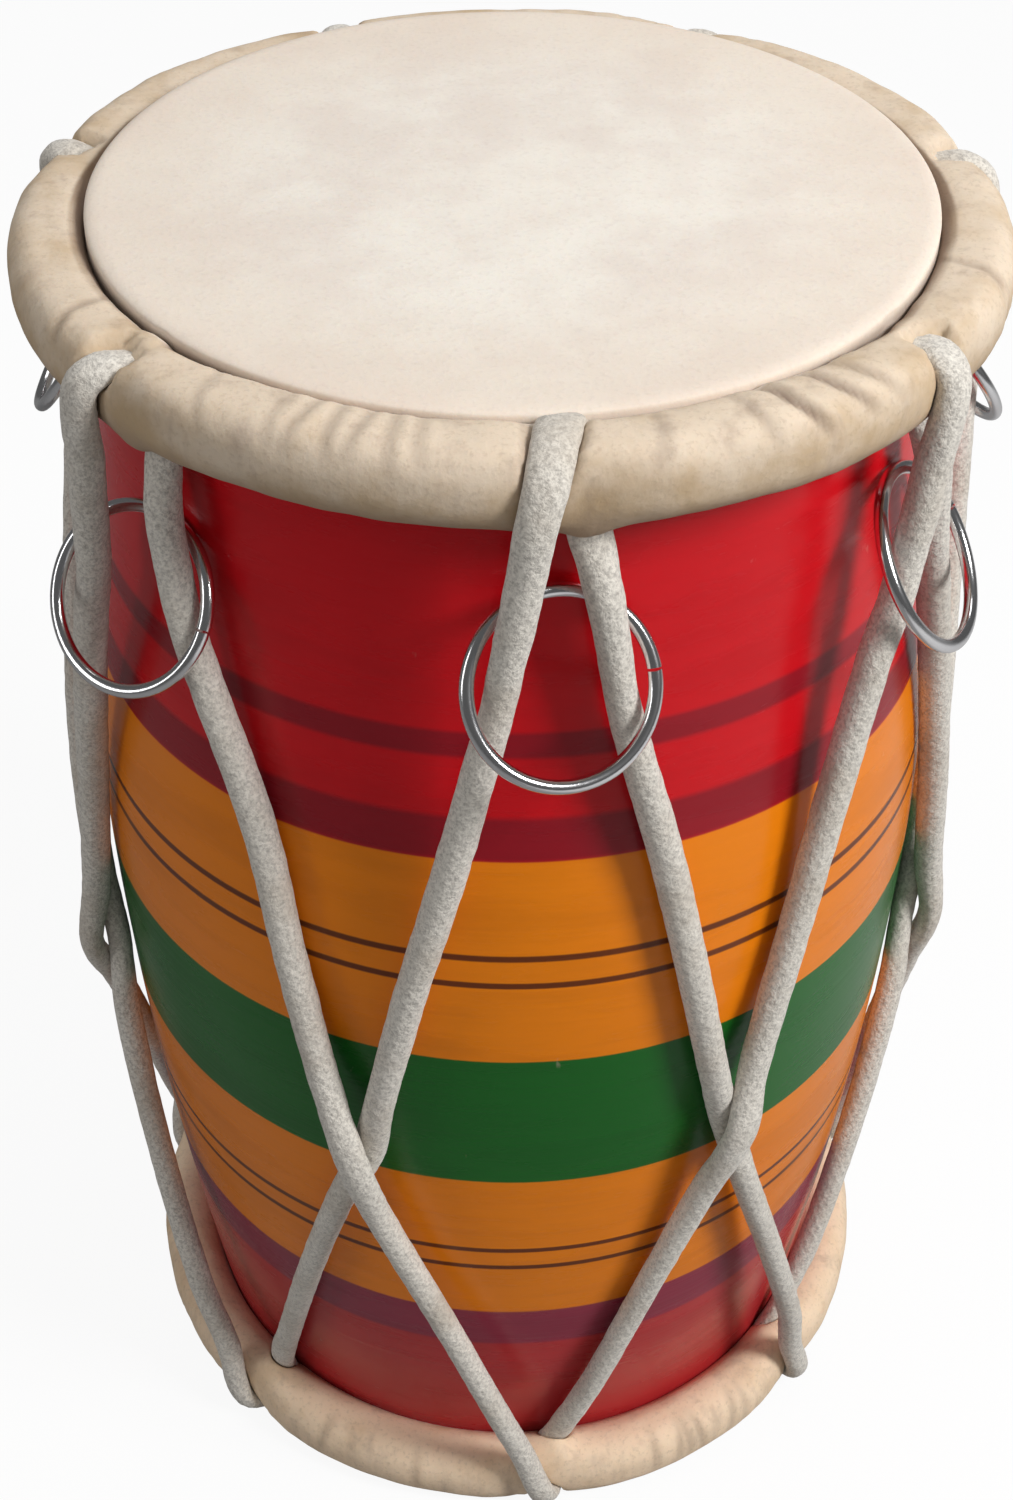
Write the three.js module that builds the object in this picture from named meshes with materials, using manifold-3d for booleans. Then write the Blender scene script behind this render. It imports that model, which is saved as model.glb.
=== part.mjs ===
// A small dholak: a wooden barrel drum with a skin head at each end, laced with one cotton cord.
// Millimetres, +Z up. It stands on its narrow head, and the origin is the centre of that face.
// Azimuth 0 looks from -Y, and azimuths grow towards +X.
import * as THREE from 'three';
import { mergeVertices } from 'three/addons/utils/BufferGeometryUtils.js';
import Module from 'manifold-3d';

const wasm = await Module();
wasm.setup();

// Drum
const drumHeight = 301.4;
const bassHeadRadius = 80;
const trebleHeadRadius = 77.4;
const clearance = 0.3;
const weldDistance = 0.0001;
const fullTurn = 360;

// Shell: how much wider than the head nearer to it the barrel is, at equal steps between its rims
const shoulderSwell = 2.6;
const bellySwell = 8.9;
const lowBellySwell = 10.4;
const waistSwell = 5.6;
const shellWall = 9;
const outerSteps = 11;
const innerShares = [0.94, 0.75, 0.55, 0.35, 0.18, 0.06];

// Skins, their rolled rims and the hoops in the rolls. The bass roll sags towards the back.
const skinThickness = 1.4;
const headEdgeRound = 3;
const rollHalfWidth = 6.2;
const rollHalfHeight = 6.8;
const rollGap = 0.5;
const bassRollDepth = 7.4;
const bassRollSag = 2.8;
const trebleRollDepth = 8;
const footShare = 0.82;
const fullnessShare = 0.86;
const hoopWireRadius = 1.8;
const hoopInset = 0.8;
const hoopDrop = 1.2;
const tuckSlit = 0.5;

// The pinch that a roll has under the cord
const pinchPull = 1;
const pinchDrop = 2.4;
const pinchSqueeze = 1.6;
const pinchWidthDegrees = 7;

// Tuning paste under the bass membrane
const pasteRadius = 32;
const pasteThickness = 2.5;
const pasteEdge = 0.6;

// Lacing points round each rim, in degrees of azimuth, and how far a pair's strands bow apart
const bassLacingDegrees = [5.5, 55, 105, 155.5, 206, 256, 312];
const trebleLacingDegrees = [5.7, 53, 104, 155, 206, 258, 314.5];
const bowDegrees = [0, 2.2, 0, 1.2, 0, 0.9, 2.2];
const firstLaced = 5;
const lacedStep = 2;

// Cord and its knot
const cordRadius = 3.5;
const cordSides = 7;
const knotTurns = 2;
const knotPitch = 6.6;
const knotThick = 2.9;
const knotWide = 3.1;
const knotStepsPerTurn = 10;
const knotTail = 16;
const knotShare = 0.855;
const overlapCut = 0.35;

// Tuning rings
const ringRadius = 16.7;
const ringWireRadius = 1.3;
const ringDepth = 50;
const ringStandoff = 11.6;
const ringLeanDegrees = 32.6;
const ringYawDegrees = 13.8;
const ringTurnDegrees = [0, 0.25, 0, 0.1, 0, 0.1, 0.25];
const ringRaise = [3.8, 3.4, 0, 0, 0, 5, 0];

const degrees = THREE.MathUtils.degToRad;
const inDegrees = THREE.MathUtils.radToDeg;
const shellRims = {
  bass: bassHeadRadius - skinThickness - clearance,
  treble: trebleHeadRadius - skinThickness - clearance,
};
const barrelRadii = [
  shellRims.bass,
  bassHeadRadius + shoulderSwell,
  bassHeadRadius + bellySwell,
  trebleHeadRadius + lowBellySwell,
  trebleHeadRadius + waistSwell,
  shellRims.treble,
];

// Outer radius of the barrel at a depth below the bass head, smooth through the listed radii,
// which run from one rounded rim to the other.
function barrelRadius(depth) {
  const spans = barrelRadii.length - 1;
  const reach = drumHeight - headEdgeRound - headEdgeRound;
  const place = THREE.MathUtils.clamp((depth - headEdgeRound) / reach, 0, 1) * spans;
  const span = Math.min(Math.floor(place), spans - 1);
  const t = place - span;
  const from = barrelRadii[span];
  const to = barrelRadii[span + 1];
  const before = span > 0 ? barrelRadii[span - 1] : from + from - to;
  const after = span < spans - 1 ? barrelRadii[span + 2] : to + to - from;
  const startSlope = (to - before) / 2;
  const endSlope = (after - from) / 2;
  const rise = to - from;
  return from + startSlope * t + (3 * rise - 2 * startSlope - endSlope) * t ** 2
    + (startSlope + endSlope - 2 * rise) * t ** 3;
}

function onAzimuth(radius, azimuth, z) {
  const turn = degrees(azimuth);
  return new THREE.Vector3(radius * Math.sin(turn), -radius * Math.cos(turn), z);
}

// Azimuths of the flat facets: closer together beside each lacing point of the bass rim.
function facetAzimuths() {
  const spreadShares = [0, 0.13, 0.3, 0.5, 0.7, 0.87];
  const list = [];
  bassLacingDegrees.forEach((start, index) => {
    const next = bassLacingDegrees[(index + 1) % bassLacingDegrees.length];
    const gap = THREE.MathUtils.euclideanModulo(next - start, fullTurn);
    spreadShares.forEach((share) => list.push(start + share * gap));
  });
  return list;
}

// One closed body from triangles: vertices merged, empty triangles dropped, faces turned outward.
function closedBody(positions, triangles) {
  let geometry = new THREE.BufferGeometry();
  geometry.setAttribute('position', new THREE.Float32BufferAttribute(positions, 3));
  geometry.setIndex(triangles);
  geometry = mergeVertices(geometry, weldDistance);
  const points = geometry.attributes.position;
  const kept = [];
  let volume = 0;
  const corners = [new THREE.Vector3(), new THREE.Vector3(), new THREE.Vector3()];
  for (let i = 0; i < geometry.index.count; i += 3) {
    const face = [0, 1, 2].map((corner) => geometry.index.getX(i + corner));
    if (new Set(face).size < 3) continue;
    face.forEach((vertex, corner) => corners[corner].fromBufferAttribute(points, vertex));
    volume += corners[0].dot(corners[1].clone().cross(corners[2]));
    kept.push(face);
  }
  geometry.setIndex(kept.flatMap((face) => (volume < 0 ? [face[0], face[2], face[1]] : face)));
  return geometry;
}

// Turns a closed profile about Z. The profile can change with azimuth, so it is a function of it,
// giving [radius, z] points.
function turned(profileAt, azimuths) {
  const positions = [];
  const triangles = [];
  const rings = azimuths.map((azimuth) => profileAt(azimuth));
  const count = rings[0].length;
  rings.forEach((ring, side) => ring.forEach(([radius, z]) => {
    positions.push(...onAzimuth(radius, azimuths[side], z));
  }));
  rings.forEach((ring, side) => {
    const nextSide = (side + 1) % rings.length;
    ring.forEach((point, i) => {
      const a = side * count + i;
      const b = side * count + (i + 1) % count;
      const c = nextSide * count + (i + 1) % count;
      const d = nextSide * count + i;
      triangles.push(a, b, c, a, c, d);
    });
  });
  return closedBody(positions, triangles);
}

// A tube through stations of {point, normal, thick, wide}: thick is half its size along the
// normal and wide is half its size across it. Flat ends close it unless it runs in a loop.
function tube(stations, looped, sides) {
  const positions = [];
  const triangles = [];
  const last = stations.length - 1;
  stations.forEach((station, i) => {
    const after = stations[looped ? (i + 1) % stations.length : Math.min(i + 1, last)].point;
    const before = stations[looped ? (i + last) % stations.length : Math.max(i - 1, 0)].point;
    const along = after.clone().sub(before).normalize();
    const across = along.clone().cross(station.normal).normalize();
    const out = across.clone().cross(along);
    for (let side = 0; side < sides; side += 1) {
      const turn = (side + 0.5) / sides * Math.PI * 2;
      const corner = station.point.clone()
        .addScaledVector(out, Math.cos(turn) * station.thick)
        .addScaledVector(across, Math.sin(turn) * station.wide);
      positions.push(...corner);
    }
  });
  const spans = looped ? stations.length : last;
  for (let i = 0; i < spans; i += 1) {
    const next = (i + 1) % stations.length;
    for (let side = 0; side < sides; side += 1) {
      const nextSide = (side + 1) % sides;
      const a = i * sides + side;
      const b = i * sides + nextSide;
      const c = next * sides + nextSide;
      const d = next * sides + side;
      triangles.push(a, b, c, a, c, d);
    }
  }
  if (!looped) {
    for (let side = 1; side < sides - 1; side += 1) {
      triangles.push(0, side + 1, side);
      triangles.push(last * sides, last * sides + side, last * sides + side + 1);
    }
  }
  return closedBody(positions, triangles);
}

function toSolid(geometry) {
  return new wasm.Manifold(new wasm.Mesh({
    numProp: 3,
    vertProperties: new Float32Array(geometry.attributes.position.array),
    triVerts: new Uint32Array(geometry.index.array),
  }));
}

// Cuts a body, and lets go of any sliver that a cut sets loose.
function cut(geometry, cutters) {
  const result = cutters.reduce((body, cutter) => body.subtract(toSolid(cutter)), toSolid(geometry));
  const bodies = result.decompose().sort((a, b) => b.volume() - a.volume());
  const mesh = bodies[0].getMesh();
  return closedBody(Array.from(mesh.vertProperties), Array.from(mesh.triVerts));
}

// Shell: a hollow barrel whose rims are rounded under the skins.
function shellProfile() {
  const rimDepth = skinThickness + clearance;
  const rimRound = headEdgeRound - skinThickness - clearance;
  const outer = [];
  for (let i = 0; i <= outerSteps; i += 1) {
    const share = i / outerSteps;
    const depth = headEdgeRound + (drumHeight - headEdgeRound - headEdgeRound) * share;
    outer.push([barrelRadius(depth), depth]);
  }
  const inner = innerShares.map((share) => [barrelRadius(share * drumHeight) - shellWall,
    share * drumHeight]);
  const bassRim = [[shellRims.bass - shellWall, rimDepth], [shellRims.bass - rimRound, rimDepth]];
  const trebleRim = [[shellRims.treble - rimRound, drumHeight - rimDepth],
    [shellRims.treble - shellWall, drumHeight - rimDepth]];
  return [...bassRim, ...outer, ...trebleRim, ...inner].map(([r, depth]) => [r, drumHeight - depth]);
}

// Each head: its lacing points, its roll's depth under it, and height from depth.
const heads = {
  bass: {
    radius: bassHeadRadius,
    lacings: bassLacingDegrees,
    rollDepth: (azimuth) => bassRollDepth + bassRollSag * (1 - Math.cos(degrees(azimuth))) / 2,
    z: (depth) => drumHeight - depth,
    shell: (depth) => barrelRadius(depth),
  },
  treble: {
    radius: trebleHeadRadius,
    lacings: trebleLacingDegrees,
    rollDepth: () => trebleRollDepth,
    z: (depth) => depth,
    shell: (depth) => barrelRadius(drumHeight - depth),
  },
};

// How far an azimuth is pinched by the cord: 1 at a lacing point and 0 between them.
function pinchAt(head, azimuth) {
  return head.lacings.reduce((sum, lacing) => {
    const half = fullTurn / 2;
    const away = THREE.MathUtils.euclideanModulo(azimuth - lacing + half, fullTurn) - half;
    return sum + Math.exp(-((away / pinchWidthDegrees) ** 2));
  }, 0);
}

// Section of a head's roll where it is pinched that much.
function rollSection(head, azimuth, pinch) {
  const collar = head.radius + rollGap;
  return {
    radius: collar + rollHalfWidth - pinchPull * pinch,
    depth: head.rollDepth(azimuth) + pinchDrop * pinch,
    halfWidth: rollHalfWidth - pinchSqueeze * pinch,
    halfHeight: rollHalfHeight - pinchSqueeze * pinch,
  };
}

function hoopCentre(head, azimuth) {
  const roll = rollSection(head, azimuth, 0);
  return { radius: roll.radius + hoopInset, depth: roll.depth + hoopDrop };
}

// Points round an oval section, fuller than an ellipse where fullness is under 1.
function oval(section, fullness, fromDegrees, toDegrees, steps) {
  const points = [];
  for (let i = 0; i <= steps; i += 1) {
    const turn = degrees(fromDegrees + (toDegrees - fromDegrees) * i / steps);
    const out = Math.sign(Math.cos(turn)) * Math.abs(Math.cos(turn)) ** fullness;
    const up = Math.sign(Math.sin(turn)) * Math.abs(Math.sin(turn)) ** fullness;
    points.push([section.radius + section.halfWidth * out, section.depth - section.halfHeight * up]);
  }
  return points;
}

function circle(centre, size, fromDegrees, toDegrees, steps) {
  return oval({ ...centre, halfWidth: size, halfHeight: size }, 1, fromDegrees, toDegrees, steps);
}

// Head skin: membrane, rounded edge, collar down the shell, and the roll round the hoop. The slit
// where the skin's edge is tucked under leads from the crease to the hoop.
function skinProfile(head, azimuth) {
  const roll = rollSection(head, azimuth, pinchAt(head, azimuth));
  const hoop = hoopCentre(head, azimuth);
  const inner = (depth) => head.shell(depth) + clearance;
  const edge = { radius: head.radius - headEdgeRound, depth: headEdgeRound };
  const foot = roll.depth + roll.halfHeight * footShare;
  const upperLip = roll.depth - tuckSlit / 2;
  const lowerLip = roll.depth + tuckSlit / 2;
  return [
    [0, 0],
    ...circle(edge, headEdgeRound, 90, 0, 2),
    [inner(lowerLip) + skinThickness, lowerLip],
    ...circle(hoop, hoopWireRadius + clearance, 190, 530, 6),
    [roll.radius - roll.halfWidth, upperLip],
    ...oval(roll, fullnessShare, 145, -125, 8),
    [inner(foot), foot],
    ...circle(edge, headEdgeRound - skinThickness, 0, 90, 1),
    [0, skinThickness],
  ].map(([radius, depth]) => [radius, head.z(depth)]);
}

// The cord's route. One pass goes over a head's roll, in at the crease and out under the roll.
// Its points: out from the head's edge in roll widths, down from the roll's middle in roll half
// heights, and in cord radii how far round the head's edge they are, half the cord's thickness and
// half its width.
const passShares = [
  [1.023, 2.06, -1.556, 1, 1],
  [1.085, 0.676, -1.237, 0.914, 1.057],
  [1.008, -0.235, -0.878, 0.8, 1.114],
  [0.721, -0.735, -0.519, 0.657, 1.171],
  [0.403, -0.75, -0.199, 0.629, 1.2],
  [0.209, -0.235, 0.12, 0.557, 1.229],
  [0.202, 0.574, 0.638, 0.543, 1.229],
  [0.302, 1.588, 1.237, 0.8, 1.143],
];
// The stretch through a ring: depth in ring depths, how far round the head's edge in ring radii,
// out from that edge in roll widths from over and from under the roll, half width in cord radii,
// and share of the pair's bow.
const ringStretchShares = [
  [0.6, 0.393, 1.008, 0.566, 1, 0],
  [0.8, 0.485, 0.977, 0.612, 0.93, 0],
  [1, 0.5685, 0.953, 0.636, 0.9, 0.1],
  [1.22, 0.694, 0.946, 0.667, 0.95, 0.6],
];
// The rest of a strand: depth as a share of the drum's height, share of the way round for a right
// and for a left strand, their height over the shell in cord radii, share of the pair's bow, and
// how much higher a strand lies beside one that it crosses over.
const longStretchShares = [
  [0.2986, 0.275, 0.241, 1.23, 1.83, 1, 0],
  [0.4048, 0.36, 0.335, 1.1, 1.16, 1, 0],
  [0.511, 0.455, 0.42, 1.16, 1.1, 0.65, 0.59],
  [0.5707, 0.513, 0.475, 1.16, 1.1, 0, 0],
  [0.6337, 0.577, 0.558, 1.46, 1.1, 0, 0.59],
  [0.7465, 0.725, 0.692, 2.2, 1.1, 0, 0],
  [0.8626, 0.873, 0.832, 3.23, 1.17, 0, 0],
];
const crossingRow = 3;
const crossingShares = { over: 2.63, under: 0.886, thick: 0.786, wide: 1.2 };

function passStations(head, lacing) {
  const rollWidth = rollGap + rollHalfWidth + rollHalfWidth;
  return passShares.map(([across, down, round, thick, wide]) => ({
    azimuth: lacing + inDegrees(round * cordRadius / head.radius),
    radius: head.radius + across * rollWidth,
    z: head.z(head.rollDepth(lacing) + down * rollHalfHeight),
    thick: thick * cordRadius,
    wide: wide * cordRadius,
  }));
}

// One strand from a bass lacing point down to a treble one. side is 1 where it runs to the right
// from under the bass roll to over the treble roll, and -1 where it mirrors that.
function strandStations(bassIndex, trebleIndex, side, isOver) {
  const lacing = bassLacingDegrees[bassIndex];
  const bow = bowDegrees[bassIndex];
  const rollWidth = rollGap + rollHalfWidth + rollHalfWidth;
  const way = THREE.MathUtils.euclideanModulo(side * (trebleLacingDegrees[trebleIndex] - lacing), fullTurn);
  const stations = ringStretchShares.map(([depth, round, fromOver, fromUnder, wide, bowed]) => ({
    azimuth: lacing + side * (inDegrees(round * ringRadius / bassHeadRadius) + bowed * bow),
    radius: bassHeadRadius + (side > 0 ? fromUnder : fromOver) * rollWidth,
    z: drumHeight - depth * ringDepth,
    thick: cordRadius,
    wide: wide * cordRadius,
  }));
  longStretchShares.forEach(([down, right, left, rightLift, leftLift, bowed, beside], row) => {
    const depth = down * drumHeight;
    const crossed = row === crossingRow;
    const resting = (side > 0 ? rightLift : leftLift) + (isOver ? beside : 0);
    const crossing = isOver ? crossingShares.over : crossingShares.under;
    stations.push({
      azimuth: lacing + side * ((side > 0 ? right : left) * way + bowed * bow),
      radius: barrelRadius(depth) + (crossed ? crossing : resting) * cordRadius,
      z: drumHeight - depth,
      thick: (crossed ? crossingShares.thick : 1) * cordRadius,
      wide: (crossed ? crossingShares.wide : 1) * cordRadius,
    });
  });
  return stations;
}

// The cord passes every second bass lacing point, so it goes round twice and lies over the strands
// of its first round where it crosses them.
function cordStations() {
  const count = bassLacingDegrees.length;
  const orderOf = (index) => {
    let order = 0;
    while ((firstLaced + order * lacedStep) % count !== index) order += 1;
    return order;
  };
  const next = (index) => (index + 1) % count;
  const rightIsOver = (index) => orderOf(index) > orderOf(next(index));
  const stations = [];
  for (let order = 0; order < count; order += 1) {
    const index = (firstLaced + order * lacedStep) % count;
    const low = next(index);
    const up = next(low);
    stations.push(...passStations(heads.bass, bassLacingDegrees[index]));
    stations.push(...strandStations(index, low, 1, rightIsOver(index)));
    stations.push(...passStations(heads.treble, trebleLacingDegrees[low]));
    stations.push(...strandStations(up, low, -1, !rightIsOver(low)).reverse());
  }
  return placed(stations, true);
}

// Gives stations their points, and normals that face off the surface the cord lies on.
function placed(stations, looped) {
  const points = stations.map((s) => onAzimuth(s.radius, s.azimuth, s.z));
  const last = points.length - 1;
  return stations.map((station, i) => {
    const after = points[looped ? (i + 1) % points.length : Math.min(i + 1, last)];
    const before = points[looped ? (i + last) % points.length : Math.max(i - 1, 0)];
    const round = onAzimuth(1, station.azimuth + 90, 0);
    const normal = after.clone().sub(before).cross(round).normalize();
    return { ...station, point: points[i], normal };
  });
}

// The stretches of cord that pass a head, a little fatter, to cut its way through the skin.
function passCutters(head) {
  return head.lacings.map((lacing) => {
    const stations = placed(passStations(head, lacing), false);
    return tube(stations.map((s) => ({
      ...s, thick: s.thick + overlapCut, wide: s.wide + overlapCut,
    })), false, cordSides);
  });
}

// Knot: the cord's end wound round the strand beside it at the back, with a short tail each way.
function knotStations() {
  const lacedLast = (firstLaced + (bassLacingDegrees.length - 1) * lacedStep) % bassLacingDegrees.length;
  const low = (lacedLast + 1) % bassLacingDegrees.length;
  const strand = placed(strandStations(lacedLast, low, 1, true), false);
  const height = drumHeight * (1 - knotShare);
  const lower = strand.findIndex((station) => station.point.z < height);
  const start = strand[lower - 1].point;
  const along = strand[lower].point.clone().sub(start).normalize();
  const centre = start.clone().addScaledVector(along, (start.z - height) / Math.abs(along.z));
  const outward = strand[lower].normal.clone();
  outward.addScaledVector(along, -outward.dot(along)).normalize();
  const across = along.clone().cross(outward);
  const coil = cordRadius + clearance + clearance + knotThick;
  const turnSteps = knotTurns * knotStepsPerTurn;
  const stations = [];
  const add = (shift, turn, reach) => {
    const normal = outward.clone().multiplyScalar(Math.cos(turn))
      .addScaledVector(across, Math.sin(turn));
    const point = centre.clone().addScaledVector(along, shift).addScaledVector(normal, reach);
    stations.push({ point, normal, thick: knotThick, wide: knotWide });
  };
  const half = knotPitch * knotTurns / 2;
  add(-half - knotTail, 0, coil + cordRadius);
  add(-half - knotPitch, 0, coil);
  for (let i = 0; i <= turnSteps; i += 1) {
    add(-half + knotPitch * i / knotStepsPerTurn, i / knotStepsPerTurn * Math.PI * 2, coil);
  }
  add(half + knotPitch, 0, coil);
  add(half + knotTail, 0, coil + cordRadius);
  return stations;
}

// Finishes
const painted = new THREE.MeshStandardMaterial({ color: 0xb81c26, roughness: 0.25, metalness: 0 });
const hide = new THREE.MeshStandardMaterial({ color: 0xe6dccb, roughness: 0.75, metalness: 0 });
const cotton = new THREE.MeshStandardMaterial({ color: 0xd2cdc4, roughness: 0.95, metalness: 0 });
const iron = new THREE.MeshStandardMaterial({ color: 0x5c5a58, roughness: 0.5, metalness: 1 });
const steel = new THREE.MeshStandardMaterial({ color: 0xc9cacc, roughness: 0.15, metalness: 1 });
const paste = new THREE.MeshStandardMaterial({ color: 0x2a2420, roughness: 0.9, metalness: 0 });

const dholak = new THREE.Group();

function addPiece(name, geometry, material, parent = dholak) {
  const mesh = new THREE.Mesh(geometry, material.clone());
  mesh.name = name;
  parent.add(mesh);
  return mesh;
}

function hoopProfile(head, azimuth) {
  return circle(hoopCentre(head, azimuth), hoopWireRadius, 190, 530, 6)
    .map(([radius, depth]) => [radius, head.z(depth)]);
}

const azimuths = facetAzimuths();
addPiece('shell', turned(shellProfile, azimuths), painted);
Object.entries(heads).forEach(([name, head]) => {
  const skin = turned((azimuth) => skinProfile(head, azimuth), azimuths);
  addPiece(`${name}_skin`, cut(skin, passCutters(head)), hide);
  addPiece(`${name}_hoop`, turned((azimuth) => hoopProfile(head, azimuth), azimuths), iron);
});

const pasteTop = drumHeight - skinThickness - clearance;
addPiece('tuning_paste', turned(() => [
  [0, pasteTop], [pasteRadius, pasteTop], [pasteRadius, pasteTop - pasteEdge],
  [pasteRadius / 2, pasteTop - pasteThickness], [0, pasteTop - pasteThickness],
], azimuths.filter((azimuth, i) => i % 2 === 0)), paste);

addPiece('lacing_cord', tube(cordStations(), true, cordSides), cotton);
addPiece('cord_knot', tube(knotStations(), false, cordSides), cotton);

// Each ring hangs on its pair of strands, where it was last slid to. It leans out at the bottom,
// where it lies over them, and to the left, where the strand comes from over the roll and stands
// out further.
bassLacingDegrees.forEach((lacing, index) => {
  const azimuth = lacing + ringTurnDegrees[index];
  const hang = new THREE.Group();
  const height = drumHeight - ringDepth + ringRaise[index];
  hang.position.copy(onAzimuth(bassHeadRadius + ringStandoff, azimuth, height));
  hang.rotation.z = degrees(azimuth + ringYawDegrees);
  dholak.add(hang);
  const wire = new THREE.TorusGeometry(ringRadius, ringWireRadius, 7, 26);
  const ring = addPiece(`tuning_ring_${index + 1}`,
    closedBody(Array.from(wire.attributes.position.array), Array.from(wire.index.array)), steel, hang);
  ring.rotation.x = degrees(90 - ringLeanDegrees);
});

export default dholak;
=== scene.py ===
# %% [markdown]
# # A small laced dholak
#
# A dholak is a two-headed barrel drum. This one has a turned wooden shell painted in bands, a
# goat skin on each end, one long cotton cord that zigzags between the two rims, and a steel wire
# ring on each pair of strands. Pulling a ring towards the narrow head draws its strands together
# and tightens the skins.
#
# The frame gives every piece its place. Here the shell, skins, cord and rings are modelled again
# with fine surfaces, and each one stands where its frame node stands.

# %% Load the frame
import math

import bpy
from mathutils import Matrix, Vector, kdtree, noise


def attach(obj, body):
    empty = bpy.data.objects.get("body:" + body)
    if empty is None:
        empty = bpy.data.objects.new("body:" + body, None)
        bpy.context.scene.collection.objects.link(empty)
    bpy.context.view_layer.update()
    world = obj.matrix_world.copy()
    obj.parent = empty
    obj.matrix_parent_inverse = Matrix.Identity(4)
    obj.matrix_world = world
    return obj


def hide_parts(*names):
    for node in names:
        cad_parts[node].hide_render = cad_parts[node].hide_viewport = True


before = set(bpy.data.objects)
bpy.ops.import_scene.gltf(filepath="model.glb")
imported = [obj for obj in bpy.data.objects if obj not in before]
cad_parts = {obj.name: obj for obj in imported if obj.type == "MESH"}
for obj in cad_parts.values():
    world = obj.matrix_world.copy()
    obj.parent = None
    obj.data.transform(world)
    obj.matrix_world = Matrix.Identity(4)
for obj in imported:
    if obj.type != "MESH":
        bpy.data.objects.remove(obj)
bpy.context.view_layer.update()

scene = bpy.context.scene

# %% [markdown]
# ## Measures
#
# The frame is in metres. These are the drum's own sizes, the same ones that the frame was built
# from, so that a smooth surface lies where the plain one did. Only the sag of the wide head's roll
# is greater here. A depth is measured from the wide head's membrane, down the drum's axis. Lacing
# points, bows, leans and turns are in degrees, and the rings' raises are in millimetres.

# %% Sizes of the drum
MM = 0.001
HEIGHT = 301.4 * MM
BASS_RADIUS = 80 * MM
TREBLE_RADIUS = 77.4 * MM
CLEARANCE = 0.3 * MM
SKIN = 1.4 * MM
EDGE_ROUND = 3 * MM
WALL = 9 * MM
ROLL_HALF_WIDTH = 6.2 * MM
ROLL_HALF_HEIGHT = 6.8 * MM
ROLL_GAP = 0.5 * MM
ROLL_WIDTH = ROLL_GAP + 2 * ROLL_HALF_WIDTH
BASS_ROLL_DEPTH = 7.4 * MM
BASS_ROLL_SAG = 4.2 * MM
TREBLE_ROLL_DEPTH = 8 * MM
CORD_RADIUS = 3.5 * MM
RING_RADIUS = 16.7 * MM
RING_WIRE = 1.3 * MM
RING_DEPTH = 50 * MM
RING_STANDOFF = 11.6 * MM
RING_LEAN = 32.6
RING_YAW = 13.8
RING_TURNS = [0, 0.25, 0, 0.1, 0, 0.1, 0.25]
RING_RAISES = [3.8, 3.4, 0, 0, 0, 5, 0]
BASS_LACINGS = [5.5, 55, 105, 155.5, 206, 256, 312]
TREBLE_LACINGS = [5.7, 53, 104, 155, 206, 258, 314.5]
BOWS = [0, 2.2, 0, 1.2, 0, 0.9, 2.2]
BARREL = [BASS_RADIUS - SKIN - CLEARANCE, BASS_RADIUS + 2.6 * MM, BASS_RADIUS + 8.9 * MM,
          TREBLE_RADIUS + 10.4 * MM, TREBLE_RADIUS + 5.6 * MM, TREBLE_RADIUS - SKIN - CLEARANCE]


def barrel_radius(depth):
    """The shell's outer radius at a depth, smooth through the radii in BARREL."""
    spans = len(BARREL) - 1
    place = (depth - EDGE_ROUND) / (HEIGHT - 2 * EDGE_ROUND)
    place = min(max(place, 0), 1) * spans
    span = min(int(place), spans - 1)
    t = place - span
    start, end = BARREL[span], BARREL[span + 1]
    before = BARREL[span - 1] if span > 0 else 2 * start - end
    after = BARREL[span + 2] if span < spans - 1 else 2 * end - start
    rise, slope_in, slope_out = end - start, (end - before) / 2, (after - start) / 2
    return (start + slope_in * t + (3 * rise - 2 * slope_in - slope_out) * t ** 2
            + (slope_in + slope_out - 2 * rise) * t ** 3)


def head_radius(wide_end):
    return BASS_RADIUS if wide_end else TREBLE_RADIUS


def from_head(wide_end, depth):
    """The z of a depth that is measured from the nearer head's membrane."""
    return HEIGHT - depth if wide_end else depth


def on_azimuth(radius, azimuth, z):
    """A point from the azimuth in degrees: 0 is the camera's side, and it grows to the right."""
    turn = math.radians(azimuth)
    return Vector((radius * math.sin(turn), -radius * math.cos(turn), z))


print("belly radius in mm:", round(max(barrel_radius(d * MM) for d in range(301)) / MM, 1))

# %% [markdown]
# ## Camera
#
# The photograph was taken from close by, looking down on the wide head, so the drum narrows
# strongly towards its foot. The distance, height and focal length come from fitting circles to
# the rims and painted bands.

# %% Place the camera
IMAGE_HEIGHT = 1500
FOCAL_PIXELS = 2300
CAMERA_PLACE = Vector((0, -390.3 * MM, 499.4 * MM))
CAMERA_PITCH = 40.76
CAMERA_PAN = 0.1
CAMERA_ROLL = 0.26

camera_data = bpy.data.cameras.new("camera")
camera_data.sensor_width = 36
camera_data.lens = FOCAL_PIXELS * camera_data.sensor_width / IMAGE_HEIGHT
camera_data.clip_start = 0.01
camera = bpy.data.objects.new("camera", camera_data)
scene.collection.objects.link(camera)
camera.matrix_world = (Matrix.Translation(CAMERA_PLACE)
                       @ Matrix.Rotation(math.radians(CAMERA_PAN), 4, "Z")
                       @ Matrix.Rotation(math.radians(90 - CAMERA_PITCH), 4, "X")
                       @ Matrix.Rotation(math.radians(CAMERA_ROLL), 4, "Z"))
scene.camera = camera
print("lens in mm:", round(camera_data.lens, 1))

# %% [markdown]
# ## The cord's route
#
# The cord is laced before anything is modelled, because the skins are pressed in where it passes.
# It goes over a rim's roll, in at the crease and out under the roll, and from there to the next
# lacing point of the other rim. It takes every second point, so it goes round twice, and its
# second round lies on its first. The lists are the route of the frame's cord, except that it is
# pressed into the rolls, thins on its way down, keeps its slant at the narrow end, and crosses
# unevenly beside the front ring.

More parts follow.
